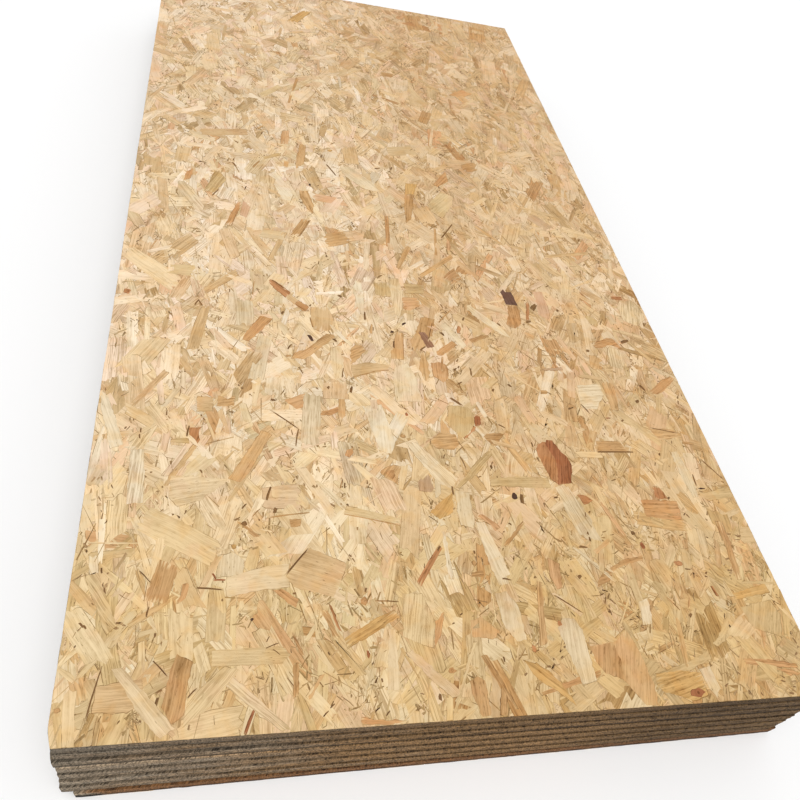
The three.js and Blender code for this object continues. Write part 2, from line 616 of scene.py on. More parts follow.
def tone_and_shade_edge(tone, index, name, points, rise):
    """Darkens an edge by height, sheet and place, partly with painted shade, and gives the rim above it the
    ledge's tone.
    """
    x, y = points[:, 0], points[:, 1]
    # Painted shade at the arrises
    tone *= np.interp(rise, EDGE_STOPS, EDGE_ARRIS_SHADE) * SHEET_TONE[index]
    tone *= np.interp(x, RIGHT_END, RIGHT_END_TONE)[:, None]
    # Painted shade on the ledges, and a painted highlight on one
    ledge_shade = np.interp(x, LEDGE_STOPS, (LEFT_LEDGE_SHADE_AND_HIGHLIGHT[index], RIGHT_LEDGE_SHADE[index]))
    tone[:, -2:] = ledge_shade[:, None]
    # Painted shade over each lower arris
    tone[:, :-2] *= np.interp(rise[:-2], FOOT_SHADE_STOPS, (FOOT_SHADE[index], FOOT_SHADE[index], 1.0))
    # Painted shadow low on the lowest sheet's edge at its near left corner
    if name == BOTTOM_SHEET:
        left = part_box(name)[0][0]
        corner_shadow = (x < left + CORNER_SHADOW_LENGTH) & (y < 0.0)
        tone[corner_shadow] *= np.interp(rise, CORNER_SHADOW_STOPS, CORNER_SHADOW_TONE)


def sheet_faces(columns, rows):
    """Quads round the sheet from row to row, then the underside and the top face."""
    here = np.arange(columns) * rows
    following = np.roll(here, -1)
    faces = []
    for row in range(rows - 1):
        quads = np.stack([here, following, following + 1, here + 1], axis=1) + row
        faces.extend(quads.tolist())
    faces.append(here[::-1].tolist())
    faces.append((here + rows - 1).tolist())
    return faces


def paint_sheet(mesh, name, columns, rows):
    """Puts the bonded fines on the flat faces, and on the rim strip of the stack's outer ones."""
    count = len(mesh.polygons)
    smooth = np.ones(count, dtype=bool)
    smooth[-2:] = False
    mesh.polygons.foreach_set("use_smooth", smooth)
    slots = np.zeros(count, dtype=np.int32)
    slots[-2:] = 1
    slots[:columns] = int(name == BOTTOM_SHEET)
    slots[columns * (rows - 2):columns * (rows - 1)] = int(name == TOP_SHEET)
    mesh.polygons.foreach_set("material_index", slots)


def build_sheet(index, name, material):
    """One closed sheet: flat faces, rubbed arrises and an edge of strand ends and voids."""
    points, normal, run = walk_outline(sheet_hull(name))
    heights = edge_heights(name)
    columns, rows = len(points), len(heights)
    relief, tone = strand_ends(columns, rows)
    relief[:, [1, -2]] = -ARRIS / 2 + rng.normal(0.0, ARRIS_SPREAD, (columns, 2))
    tone_and_shade_edge(tone, index, name, points, (heights - heights[0]) / (heights[-1] - heights[0]))
    plan = points[:, None, :] + normal[:, None, :] * relief[:, :, None]
    plan[:, 0] = plan[:, -1] = shrink(points, SHEET_RIM)
    z = np.tile(heights, (columns, 1))
    z[:, 2:-2] += rng.normal(0.0, COURSE_SPREAD, (columns, EDGE_COURSES))
    vertices = np.concatenate([plan, z[:, :, None]], axis=2).reshape(-1, 3)

    faces = sheet_faces(columns, rows)
    piece = make_mesh(f"{name}_sheet", vertices.tolist(), faces, [material, BARE_FACE])
    paint_sheet(piece.data, name, columns, rows)
    place = np.stack([np.repeat(run, rows), z.ravel(), np.full(columns * rows, float(index))], axis=1)
    point_data(piece.data, "edge_place", "FLOAT_VECTOR", place)
    point_data(piece.data, "edge_tone_and_shade", "FLOAT", tone)
    return piece


for index, name in enumerate(SHEETS):
    warm = 1.0 if name == BOTTOM_SHEET else 0.0
    sheet = build_sheet(index, name, edge_material(f"{name}_edge", warm))
    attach(sheet, "root")
    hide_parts(name)

# ---------------------------------------------------------------- how light and what colour

# The face grows a little darker and yellower from the left side to the right, and toward the near end
SIDE_START, SIDE_SPAN = 0.38, 0.24
LEFT_LIGHT = np.array([1.01, 1.00, 1.01])
RIGHT_LIGHT = np.array([0.89, 0.81, 0.71])
# The difference between the two sides is only this share of the whole at the near end
NEAR_END = [0.0, 0.14]
NEAR_CONTRAST = [0.5, 1.0]
DISTANCE_STOPS = [0.0, 0.08, 0.16, 0.35, 0.75, 1.0]
DISTANCE_LIGHT = np.array([
    [0.93, 0.98, 1.04, 1.08, 1.01, 1.01],
    [0.92, 0.99, 1.07, 1.13, 1.04, 1.02],
    [0.84, 0.92, 1.12, 1.27, 1.14, 1.12],
])
GROUND_TINT = 0.5 * (TINTS["cream"] + TINTS["straw"])

# One strand is warmer or lighter than the next, and some are dark. Between these two places along
# the face both the spread of the lightness and the share of dark strands grow.
DARK_STOPS = [0.12, 0.28]
LIGHT_SPREAD = [0.11, 0.125]
DARK_SHARE = [0.055, 0.085]
SMALL_DARK_SHARE = [0.055, 0.19]
LIGHTEST = 1.11
WARM_SHIFT = np.array([0.0, 0.45, 1.0])
WARM_SPREAD = 0.04
DARK_SHADES = (0.64, 0.90)
DARK_HUE = np.array([1.03, 0.97, 0.88])
DARK_OWN_COLOUR = 0.3
DEEPEN = np.array([1.0, 1.18, 1.6])  # a darker strand is also a yellower one


def light_at(face, centre):
    """How light each channel is at this place on the face."""
    share = face.share(centre)
    across = np.clip((share[0] - SIDE_START) / SIDE_SPAN, 0.0, 1.0)
    light = LEFT_LIGHT + (RIGHT_LIGHT - LEFT_LIGHT) * across
    middle = 0.5 * (LEFT_LIGHT + RIGHT_LIGHT)
    light = middle + (light - middle) * np.interp(share[1], NEAR_END, NEAR_CONTRAST)
    return light * [np.interp(share[1], DISTANCE_STOPS, channel) for channel in DISTANCE_LIGHT]


def random_tint(face, centre, own=1.0):
    """One of the common colours at this place. `own` is how much of it differs from the ground's."""
    base = TINTS[COMMON_NAMES[rng.choice(len(COMMON_NAMES), p=COMMON_SHARES)]]
    near = face.share(centre)[1]
    dark_share = DARK_SHARE if own == 1.0 else SMALL_DARK_SHARE
    dark = rng.random() < np.interp(near, DARK_STOPS, dark_share)
    base = GROUND_TINT + (base - GROUND_TINT) * own * (DARK_OWN_COLOUR if dark else 1.0)
    warmer = 1.0 - WARM_SHIFT * rng.normal(0.0, WARM_SPREAD) * own
    shade = LIGHTEST - abs(rng.normal(0.0, np.interp(near, DARK_STOPS, LIGHT_SPREAD)))
    if dark:
        shade *= rng.uniform(*DARK_SHADES)
        base = base * DARK_HUE
    return base * light_at(face, centre) * warmer * shade ** DEEPEN


def dark_tint(least, most):
    """Between umber and tan, at random from `least` to `most` of the way."""
    return TINTS["umber"] + (TINTS["tan"] - TINTS["umber"]) * rng.uniform(least, most)


# ---------------------------------------------------------------- a strand and its outline

END_UNEVEN = 0.3  # share of the distance between the points across an end
SIDE_PLACE = 0.4  # how far from a side's middle its point may lie, as a share of half the length
SIDE_BULGE = (0.92, 1.12)

# A worn rim runs round the top of a strand that is wide enough
STRAND_RIM = 1.3 * MM
STRAND_RIM_SHARE = 0.3
STRAND_RIM_FROM = 1.6 * MM
STRAND_WEAR = 0.06 * MM


def ragged_end(x, half_width, points, skew, tear):
    """Points across one torn end, from the low side to the high side."""
    across = np.linspace(-half_width, half_width, points)
    if points > 2:
        across[1:-1] += rng.uniform(-END_UNEVEN, END_UNEVEN, points - 2) * 2.0 * half_width / points
    return [(x + skew * y + rng.uniform(-tear, tear), y) for y in across]


def strand_outline(half_length, half_width, end_points, skew, tear, taper, bend=0.0):
    """A strand's outline, anticlockwise, with its grain along x."""
    right = ragged_end(half_length, half_width * (1.0 - max(taper, 0.0)), end_points, skew, tear)
    left = ragged_end(-half_length, half_width * (1.0 + min(taper, 0.0)), end_points, skew, tear)
    sides = []
    for side in (half_width, -half_width):
        at = rng.uniform(-SIDE_PLACE, SIDE_PLACE) * half_length
        sides.append((at, side * rng.uniform(*SIDE_BULGE) + bend))
    return np.array(right + sides[:1] + left[::-1] + sides[1:])


def torn_bit(length, width, tear, most_taper, bend_share):
    """The outline of a small torn bit, from sizes in millimetres."""
    half_length = 0.5 * length * MM
    taper = rng.uniform(-most_taper, most_taper)
    bend = rng.normal(0.0, bend_share) * half_length
    return strand_outline(half_length, 0.5 * width * MM, 2, 0.0, tear * MM, taper, bend)


def turn_matrix(angle):
    """Turns rows of points anticlockwise by this angle."""
    cosine, sine = math.cos(angle), math.sin(angle)
    return np.array([[cosine, sine], [-sine, cosine]])


class Strand:
    """One strand: its outline in the sheet's plane, how high it lies and its colour."""

    def __init__(self, face, centre, angle, outline, level, lean, tint, knot=0.0):
        self.ground = GROUND_TINT * light_at(face, centre)
        self.turn = turn_matrix(angle)
        self.plan = outline @ self.turn + centre
        if not inside(face.hull, *self.plan.T).all():
            self.plan = clip_to_hull(self.plan, face.hull) if inside(face.hull, *centre) else None
        if self.plan is None:
            return
        self.local = (self.plan - centre) @ self.turn.T
        self.rise = level + self.local @ lean
        self.level = level
        self.half = np.abs(outline).max(axis=0)
        has_rim = self.half[1] > STRAND_RIM_FROM
        self.rim = min(STRAND_RIM, STRAND_RIM_SHARE * self.half[1]) if has_rim else 0.0
        self.wear = STRAND_WEAR if has_rim else 0.0
        self.tint = tint
        self.knot = knot


def strand_faces(start, count, rings, turn):
    """Walls from ring to ring and the flat top. They are turned over for the underside."""
    faces = []
    for ring in range(rings - 1):
        for k in range(count):
            a = start + ring * count + k
            b = start + ring * count + (k + 1) % count
            faces.append((a, b, b + count, a + count)[::turn])
    top = start + (rings - 1) * count
    faces.append(list(range(top, top + count))[::turn])
    return faces


# ---------------------------------------------------------------- a face full of strands

FACE_INSET = 0.1 * MM
FACE_MARGIN = 5.0 * MM
CELL = 2.0 * MM  # of the grid that finds hidden strands
LEAST_CELLS = 4
SEED_RANGE = 100.0


class Face:
    """One outer face of the stack, and the strands pressed into it."""

    def __init__(self, sheet, facing):
        self.facing = facing
        self.hull = shrink(sheet_hull(sheet), FACE_INSET)
        self.corner = self.hull.min(axis=0)
        self.far_corner = self.hull.max(axis=0)
        self.low = self.corner + FACE_MARGIN
        self.high = self.far_corner - FACE_MARGIN
        self.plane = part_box(sheet)[1 if facing > 0 else 0][2]
        self.slot = OUTER_SLOTS[sheet]
        self.layers = {}

    def share(self, point):
        """How far across and along the face a point lies, from 0 to 1."""
        return (point - self.low) / (self.high - self.low)

    def holds(self, point):
        return (point > self.low).all() and (point < self.high).all()

    def add(self, layer, *strand, **more):
        made = Strand(self, *strand, **more)
        if made.plan is not None:
            self.layers.setdefault(layer, []).append(made)

    def drop_hidden(self):
        """Forgets the strands that others cover, by what shows on a grid of small cells."""
        size = np.ceil((self.far_corner - self.corner) / CELL).astype(int) + 1
        x, y = np.meshgrid(*(self.corner[k] + np.arange(size[k]) * CELL for k in (0, 1)), indexing="ij")
        highest = np.full(size, -1.0)
        owner = np.full(size, -1)
        strands = [strand for layer in self.layers.values() for strand in layer]
        for number, strand in enumerate(strands):
            first = np.floor((strand.plan.min(axis=0) - self.corner) / CELL).astype(int)
            last = np.ceil((strand.plan.max(axis=0) - self.corner) / CELL).astype(int)
            window = tuple(slice(max(a, 0), b + 1) for a, b in zip(first, last))
            over = inside(strand.plan, x[window], y[window]) & (highest[window] < strand.level)
            highest[window][over] = strand.level
            owner[window][over] = number
        cells = np.bincount(owner[owner >= 0], minlength=len(strands))
        kept = {id(strand) for strand, seen in zip(strands, cells) if seen >= LEAST_CELLS}
        for name, layer in self.layers.items():
            self.layers[name] = [strand for strand in layer if id(strand) in kept]

    def rings(self, strand):
        """The strand's rings from its foot in the face to its flat top. Each has its plan, its place on
        the strand, its height, and 1 where the cut edge is."""
        foot = self.plane - self.facing * 2.0 * FACE_DROP
        shoulder = self.plane + self.facing * (strand.rise - strand.wear)
        rings = [(strand.plan, strand.local, foot, 1.0), (strand.plan, strand.local, shoulder, 1.0)]
        if strand.rim > 0.0:
            local = strand.local * (1.0 - strand.rim / strand.half)
            middle = strand.plan - strand.local @ strand.turn
            head = self.plane + self.facing * strand.rise
            rings.append((middle + local @ strand.turn, local, head, 0.0))
        return rings

    def build(self):
        for name, strands in self.layers.items():
            self.build_layer(name, strands)

    def build_layer(self, name, strands):
        """One piece of all a layer's strands."""
        vertices, faces, places, sizes, tints, grounds, rims = [], [], [], [], [], [], []
        for strand in strands:
            count = len(strand.plan)
            seed = rng.random() * SEED_RANGE
            rings = self.rings(strand)
            faces.extend(strand_faces(len(vertices), count, len(rings), int(self.facing)))
            for plan, local, height, rim in rings:
                vertices.extend(np.column_stack([plan, np.broadcast_to(height, count)]).tolist())
                places.extend(np.column_stack([local, np.full(count, seed)]).tolist())
                rims.extend([rim] * count)
            sizes.extend([(*strand.half, strand.knot)] * (count * len(rings)))
            tints.extend([(*strand.tint, 1.0)] * (count * len(rings)))
            grounds.extend([(*strand.ground, 1.0)] * (count * len(rings)))
        piece = make_mesh(name, vertices, faces, [STRANDS])
        point_data(piece.data, "strand_place", "FLOAT_VECTOR", places)
        point_data(piece.data, "strand_size", "FLOAT_VECTOR", sizes)
        point_data(piece.data, "strand_tint", "FLOAT_COLOR", tints)
        point_data(piece.data, "strand_ground", "FLOAT_COLOR", grounds)
        point_data(piece.data, "strand_rim", "FLOAT", rims)
        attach(piece, "root")


# ---------------------------------------------------------------- strands laid at random

LEVEL = np.zeros(2)  # the lean of a strand that lies level
LEAN = 0.002
ANY_WAY = 0.20  # share of the strands that lie in any direction
GRAIN_SPREAD = math.radians(29.0)
END_SKEW = 0.35
STRAND_BEND = 0.006
LARGEST_TAPER = 0.95
WIDTH_PER_END_POINT = 8.0  # millimetres
WIDEST_END = 40.0  # millimetres

# How high the small dark and torn bits lie over the face's plane
SLIT_LEVEL = 0.25 * MM
GAP_LEVEL = 0.26 * MM
CRUMB_LEVELS = (0.16, 0.26)  # millimetres
CRUMB_OWN_COLOUR = 0.4
CRUMB_SHADES = (0.50, 1.08)


def strand_angle():
    """Face strands lie mostly along the sheet, and some in any direction."""
    if rng.random() < ANY_WAY:
        return rng.uniform(0.0, math.pi)
    return math.pi / 2 + rng.normal(0.0, GRAIN_SPREAD)


def log_uniform(least, most):
    return math.exp(rng.uniform(math.log(least), math.log(most)))


def scatter(face, layer, count, length, width, levels, tear, taper=0.12, own=1.0):
    """Lays strands at random. Lengths and widths are in millimetres, and so are levels and tear."""
    for _ in range(count):
        centre = rng.uniform(face.corner, face.far_corner)
        long = rng.uniform(*length)
        wide = log_uniform(*width)
        end_points = 2 + round(min(wide, WIDEST_END) / WIDTH_PER_END_POINT)
        skew = rng.normal(0.0, END_SKEW)
        narrowing = np.clip(rng.normal(0.0, taper), -LARGEST_TAPER, LARGEST_TAPER)
        bend = rng.normal(0.0, STRAND_BEND) * long * MM
        outline = strand_outline(0.5 * long * MM, 0.5 * wide * MM, end_points, skew, tear * MM,
                                 narrowing, bend)
        angle = strand_angle()
        level = rng.uniform(*levels) * MM
        lean = rng.normal(0.0, LEAN, 2)
        face.add(layer, centre, angle, outline, level, lean, random_tint(face, centre, own))


def lay_gaps(face, clusters):
    """Small dark gaps and crumbs, a few close together, along the strands' sides. A gap is dark from its
    fines and from painted shade.
    """
    for _ in range(clusters):
        middle = rng.uniform(face.low, face.high)
        angle = strand_angle()
        along = np.array([math.cos(angle), math.sin(angle)])
        across = np.array([-along[1], along[0]])
        for _ in range(rng.integers(1, 6)):
            centre = middle + (along * rng.normal(0.0, 11.0) + across * rng.normal(0.0, 4.0)) * MM
            length = rng.uniform(2.5, 12.0)
            width = rng.uniform(0.9, 3.6)
            outline = torn_bit(length, width, tear=0.6, most_taper=0.9, bend_share=0.08)
            tint = dark_tint(0.0, 0.8)
            if face.holds(centre):
                turn = angle + rng.normal(0.0, 0.3)
                face.add("top_face_gaps", centre, turn, outline, GAP_LEVEL, LEVEL, tint)


def lay_crumbs(face, clusters):
    """Patches of small torn bits, pale and brown, where strands broke up."""
    for _ in range(clusters):
        middle = rng.uniform(face.low, face.high)
        angle = strand_angle()
        reach = rng.uniform(6.0, 18.0) * MM
        for _ in range(rng.integers(5, 20)):
            centre = middle + rng.normal(0.0, reach, 2)
            length = log_uniform(4.0, 26.0)
            width = rng.uniform(0.8, 3.8)
            outline = torn_bit(length, width, tear=1.0, most_taper=0.8, bend_share=0.08)
            tint = random_tint(face, centre, CRUMB_OWN_COLOUR) * rng.uniform(*CRUMB_SHADES) ** DEEPEN
            if face.holds(centre):
                turn = angle + rng.normal(0.0, 0.7)
                level = rng.uniform(*CRUMB_LEVELS) * MM
                face.add("top_face_crumbs", centre, turn, outline, level, LEVEL, tint)


def lay_slits(face, count):
    """Thin dark lines between strands: resin, with painted shade in the cracks."""
    for _ in range(count):
        centre = rng.uniform(face.low, face.high)
        length = rng.uniform(6.0, 30.0)
        width = rng.uniform(0.6, 1.6)
        outline = torn_bit(length, width, tear=0.4, most_taper=0.6, bend_share=0.1)
        tint = dark_tint(0.1, 0.9)
        face.add("top_face_gaps", centre, strand_angle(), outline, SLIT_LEVEL, LEVEL, tint)


# ---------------------------------------------------------------- strands that catch the eye

# These are laid on the top face at places in millimetres, across and along, from the near left
# corner of the sheet. Their grain's direction is in degrees.

# Pieces with their own outline: colour, direction of the grain, corners
CUT_OUT = (
    ("olive", -54, ((19, 238), (36, 243), (72, 160), (58, 146))),
    ("tan", 0, ((53, 76), (112, 83), (115, 51), (96, 38), (51, 41))),
    ("brown", 76, ((106, 197), (138, 192), (150, 240), (149, 252), (130, 262), (123, 265), (112, 227))),
    ("clay", 72, ((160, 224), (170, 224), (166, 200), (150, 190), (158, 206))),
    ("brown", 80, ((141, 44), (154, 20), (170, 30), (175, 83), (180, 103), (157, 116), (150, 99))),
    ("cream", -50, ((70, 99), (86, 98), (132, 48), (160, 14), (140, 2), (104, 45))),
    ("straw", 48, ((167, 12), (205, 41), (245, 89), (224, 96), (196, 70), (175, 54))),
    ("cream", -42, ((226, 67), (237, 80), (314, 4), (303, 2), (268, 26))),
    ("olive", 0, ((205, 95), (205, 119), (262, 120), (305, 121), (318, 108), (305, 94))),
    ("bone", 86, ((208, 232), (250, 236), (252, 262), (235, 276), (212, 270))),
    ("cream", 5, ((224, 201), (273, 209), (322, 214), (321, 254), (276, 248), (224, 233))),
    ("tan", -20, ((356, 281), (412, 256), (414, 243), (390, 196), (346, 209), (327, 214), (314, 233))),
    ("clay", -38, ((295, 209), (309, 211), (335, 193), (329, 180), (313, 192))),
    ("brown", -58, ((321, 140), (326, 138), (340, 102), (334, 104))),
    ("brown", 88, ((322, 95), (330, 96), (328, 48), (320, 44))),
    ("honey", 58, ((346, 44), (340, 40), (358, 74), (366, 76))),
    ("brown", -62, ((369, 174), (378, 176), (393, 131), (386, 127))),
    ("russet", -70, ((380, 186), (385, 182), (398, 138), (392, 142))),
    ("moss", -56, ((385, 128), (401, 111), (431, 73), (418, 71), (398, 96))),
    ("gold", 30, ((400, 128), (450, 157), (485, 172), (492, 160), (455, 138), (404, 112))),
    ("cream", 85, ((472, 140), (482, 140), (479, 47), (458, 49))),
    ("blush", -50, ((493, 102), (506, 106), (573, 38), (557, 31), (520, 68))),
    ("clay", -5, ((414, 14), (440, 8), (482, 4), (476, 1), (416, 2))),
    ("straw", 78, ((503, 198), (535, 198), (550, 150), (540, 107), (528, 111), (493, 128))),
    ("clay", 68, ((550, 150), (567, 166), (556, 130), (540, 107))),
    ("olive", 58, ((605, 115), (612, 116), (560, 12), (553, 10))),
    ("brown", 86, ((588, 54), (602, 62), (613, 54), (611, 2), (596, 2), (588, 38))),
    ("brown", 74, ((637, 47), (644, 38), (637, 2), (624, 2))),
    ("brown", -67, ((613, 92), (624, 95), (656, 10), (652, 9))),
    ("gold", -42, ((682, 83), (705, 76), (724, 60), (731, 50), (748, 22), (752, 8), (722, 36), (700, 50))),
    ("bone", 86, ((660, 193), (682, 198), (697, 170), (697, 115), (680, 112), (664, 140))),
    ("bone", 84, ((756, 131), (769, 147), (791, 147), (799, 127), (799, 44), (772, 38), (762, 98))),
    ("white", 88, ((588, 312), (595, 312), (594, 221), (586, 222))),
    ("pale", -76, ((655, 330), (672, 330), (697, 228), (679, 220), (664, 236))),
    ("honey", 77, ((742, 214), (750, 212), (731, 106), (716, 104))),
    ("honey", 80, ((608, 150), (628, 154), (655, 128), (640, 118), (606, 122))),
    ("orange", 80, ((775, 259), (793, 246), (786, 202), (775, 198), (769, 227))),
    ("brown", 5, ((626, 233), (650, 236), (650, 227), (626, 225))),
    ("brown", 42, ((697, 282), (703, 280), (749, 326), (745, 331))),
    ("honey", 70, ((804, 99), (849, 104), (879, 124), (889, 96), (897, 31), (892, 2), (871, 2), (847, 42))),
    ("brown", 70, ((804, 99), (849, 104), (853, 70), (847, 43), (818, 54), (807, 74))),
    ("moss", 14, ((900, 48), (962, 63), (1042, 87), (1034, 73), (975, 54), (924, 38))),
    ("moss", 42, ((994, 70), (1046, 102), (1087, 147), (1094, 145), (1060, 98), (1014, 71))),
    ("gold", 12, ((901, 35), (905, 50), (950, 54), (988, 47), (988, 12), (962, 3), (908, 22))),
    ("bone", -84, ((988, 54), (1010, 57), (1014, 22), (1001, 5), (994, 22))),
    ("clay", -8, ((1081, 66), (1140, 62), (1182, 52), (1180, 46), (1120, 50), (1082, 58))),
    ("clay", -14, ((1130, 48), (1165, 44), (1178, 36), (1160, 34))),
    ("moss", 60, ((1120, 156), (1187, 169), (1196, 140), (1178, 99), (1128, 118))),
    ("gold", 10, ((1116, 169), (1118, 182), (1193, 201), (1197, 182), (1150, 176))),
    ("brown", 80, ((1137, 209), (1150, 209), (1162, 290), (1160, 330), (1148, 330), (1146, 270))),
    ("moss", -4, ((1150, 207), (1214, 203), (1214, 197), (1146, 201))),
    ("brown", 15, ((852, 201), (881, 212), (890, 228), (878, 232), (858, 215))),
    ("brown", 14, ((888, 236), (920, 252), (962, 259), (960, 251), (920, 243), (892, 230))),
    ("bone", -46, ((827, 278), (833, 282), (894, 212), (888, 208))),
    ("honey", 30, ((866, 269), (870, 262), (908, 288), (906, 296))),
    ("pale", 82, ((921, 172), (943, 180), (932, 131), (914, 131))),
    ("blush", -32, ((763, 191), (768, 194), (808, 154), (803, 150))),
    ("honey", 64, ((225, 414), (247, 407), (262, 430), (300, 508), (297, 515), (283, 519), (262, 480))),
    ("russet", 80, ((157, 520), (178, 524), (173, 510), (176, 495), (172, 487), (166, 497), (158, 505))),
    ("tan", 58, ((165, 485), (172, 480), (148, 435), (127, 398), (120, 400), (140, 440))),
    ("moss", 0, ((126, 488), (158, 486), (158, 496), (140, 498), (127, 495))),
    ("olive", 70, ((135, 547), (150, 548), (146, 567), (136, 565))),
    ("tan", 5, ((167, 557), (196, 558), (197, 592), (168, 593))),
    ("honey", 12, ((203, 570), (234, 574), (236, 598), (222, 590), (205, 598))),
    ("orange", 30, ((326, 592), (345, 600), (368, 612), (364, 594), (362, 577), (350, 571), (338, 582))),
    ("blush", 2, ((298, 394), (340, 392), (345, 377), (298, 376))),
    ("brown", 20, ((325, 334), (346, 336), (344, 322), (328, 318))),
    ("honey", -42, ((240, 331), (248, 328), (277, 304), (268, 302))),
    ("white", -70, ((2, 600), (16, 580), (36, 525), (50, 480), (30, 470), (5, 560))),
    ("white", 89, ((62, 470), (85, 471), (92, 366), (66, 362))),
    ("cream", 10, ((130, 420), (225, 413), (215, 400), (180, 370), (145, 358), (130, 375))),
    ("clay", 15, ((392, 559), (410, 558), (432, 572), (430, 581), (415, 573), (397, 569))),
    ("honey", 84, ((433, 620), (445, 620), (442, 560), (430, 545), (428, 560))),
    ("honey", 55, ((493, 432), (505, 443), (520, 449), (535, 445), (528, 430), (524, 405), (503, 420))),
    ("clay", 55, ((501, 432), (511, 438), (521, 438), (521, 409), (506, 422))),
    ("dun", 85, ((561, 393), (583, 391), (590, 400), (588, 415), (585, 432), (570, 422), (562, 412))),
    ("white", 86, ((478, 585), (515, 590), (525, 540), (532, 500), (520, 470), (500, 480), (490, 520))),
    ("pale", -56, ((552, 500), (575, 500), (605, 460), (640, 420), (625, 400), (600, 410), (565, 470))),
    ("bone", 88, ((628, 395), (655, 390), (655, 330), (648, 318), (625, 322))),
    ("olive", -13, ((420, 346), (425, 362), (516, 338), (518, 325))),
    ("honey", 8, ((600, 505), (622, 526), (655, 522), (658, 500), (645, 485), (610, 488))),
    ("honey", 84, ((624, 526), (632, 562), (642, 540), (646, 524))),
    ("moss", 76, ((650, 592), (672, 596), (695, 590), (703, 572), (698, 545), (680, 522), (665, 515),
                  (645, 545))),
    ("rust", 80, ((700, 545), (702, 565), (708, 573), (715, 568), (713, 550), (708, 545))),
    ("russet", 55, ((671, 513), (690, 523), (702, 543), (698, 546), (687, 529), (671, 517))),
    ("brown", 8, ((712, 520), (725, 528), (758, 527), (745, 512), (735, 498), (727, 497), (720, 508))),
    ("moss", 46, ((633, 402), (640, 400), (690, 440), (722, 478), (715, 486), (685, 460))),
    ("moss", 2, ((700, 405), (822, 402), (822, 425), (760, 428), (705, 420))),
    ("gold", 50, ((575, 350), (600, 372), (618, 386), (624, 398), (618, 350), (590, 335))),
    ("clay", 75, ((433, 466), (440, 464), (449, 474), (446, 484), (437, 480))),
    ("orange", -55, ((662, 342), (672, 346), (692, 328), (701, 318), (690, 313), (678, 328))),
    ("russet", 72, ((818, 470), (815, 488), (821, 503), (835, 510), (850, 512), (853, 440), (840, 411),
                    (828, 422))),
    ("rust", 74, ((838, 508), (845, 515), (858, 514), (863, 503), (870, 485), (880, 473), (881, 455),
                  (878, 438), (871, 425), (869, 414), (852, 411), (840, 410), (848, 440), (850, 470))),
    ("brown", 1, ((955, 517), (1008, 516), (1015, 500), (1026, 492), (950, 490))),
    ("russet", -5, ((873, 388), (890, 387), (902, 375), (890, 368), (880, 366), (877, 375))),
    ("orange", -70, ((912, 372), (918, 372), (930, 345), (945, 300), (938, 300), (920, 345))),
    ("clay", 0, ((1005, 378), (1082, 376), (1080, 350), (1078, 335), (1050, 334), (1003, 342))),
    ("brown", -3, ((1048, 348), (1078, 350), (1078, 342), (1050, 340))),
    ("russet", 80, ((1040, 380), (1041, 409), (1052, 410), (1062, 394), (1064, 380))),
    ("honey", 4, ((1093, 555), (1140, 553), (1158, 545), (1150, 532), (1125, 526), (1103, 530))),
    ("tan", 60, ((1170, 430), (1180, 470), (1200, 450), (1216, 425), (1190, 420))),
    ("moss", 6, ((1140, 398), (1160, 396), (1217, 412), (1217, 386), (1160, 378), (1143, 385))),
    ("bone", 87, ((1118, 495), (1135, 495), (1142, 430), (1138, 385), (1125, 383), (1117, 430))),
    ("bone", -74, ((835, 408), (855, 405), (872, 370), (886, 330), (870, 300), (850, 302), (838, 350))),
    ("honey", 70, ((622, 800), (634, 800), (642, 768), (631, 754), (619, 740), (604, 740), (602, 770))),
    ("brown", 72, ((634, 842), (646, 845), (667, 839), (660, 811), (653, 787), (630, 780), (617, 797),
                   (629, 823))),
    ("taupe", -66, ((623, 797), (638, 798), (645, 778), (652, 756), (636, 750), (628, 770))),
    ("honey", 82, ((576, 794), (587, 790), (585, 765), (578, 713), (552, 713), (554, 737), (560, 740),
                  (569, 782))),
    ("clay", 42, ((655, 731), (665, 730), (706, 765), (696, 776), (655, 742))),
    ("honey", 86, ((618, 738), (628, 736), (630, 700), (624, 655), (614, 658), (608, 690))),
    ("orange", 84, ((636, 708), (655, 712), (668, 705), (672, 690), (668, 670), (655, 655), (634, 672))),
    ("pale", -62, ((677, 822), (690, 832), (728, 765), (716, 755))),
    ("brown", 27, ((737, 784), (741, 774), (786, 795), (784, 801), (768, 800), (750, 789))),
    ("russet", 70, ((712, 812), (720, 826), (725, 818), (719, 800), (713, 800))),
    ("soot", -80, ((849, 948), (857, 958), (861, 950), (876, 950), (882, 905), (854, 905))),
    ("clay", 84, ((854, 904), (881, 904), (882, 880), (876, 845), (858, 828), (848, 830), (838, 842),
                  (850, 868))),
    ("pale", -52, ((752, 895), (760, 893), (822, 830), (838, 796), (818, 805), (752, 872))),
    ("moss", 84, ((541, 945), (575, 950), (580, 900), (541, 905))),
    ("moss", 4, ((612, 950), (660, 950), (655, 920), (612, 918))),
    ("cream", 78, ((578, 965), (601, 965), (608, 905), (598, 870), (588, 840), (578, 845), (575, 890))),
    ("orange", 8, ((600, 905), (640, 905), (640, 880), (615, 862), (600, 862))),
    ("pale", 86, ((556, 690), (585, 705), (598, 660), (600, 600), (545, 600), (548, 660))),
    ("russet", 76, ((890, 855), (897, 853), (914, 915), (911, 922), (905, 915))),
    ("rose", 84, ((934, 960), (958, 960), (960, 905), (957, 880), (948, 865), (928, 880), (934, 915))),
    ("clay", 18, ((1040, 790), (1048, 800), (1085, 818), (1097, 815), (1110, 790), (1108, 783),
                  (1092, 792), (1080, 795), (1065, 785), (1042, 781))),
    ("honey", 60, ((1018, 758), (1032, 757), (1048, 743), (1036, 735), (1041, 722), (1037, 715),
                   (1014, 715), (1010, 722))),
    ("moss", 60, ((1050, 888), (1072, 885), (1078, 865), (1070, 850), (1055, 858))),
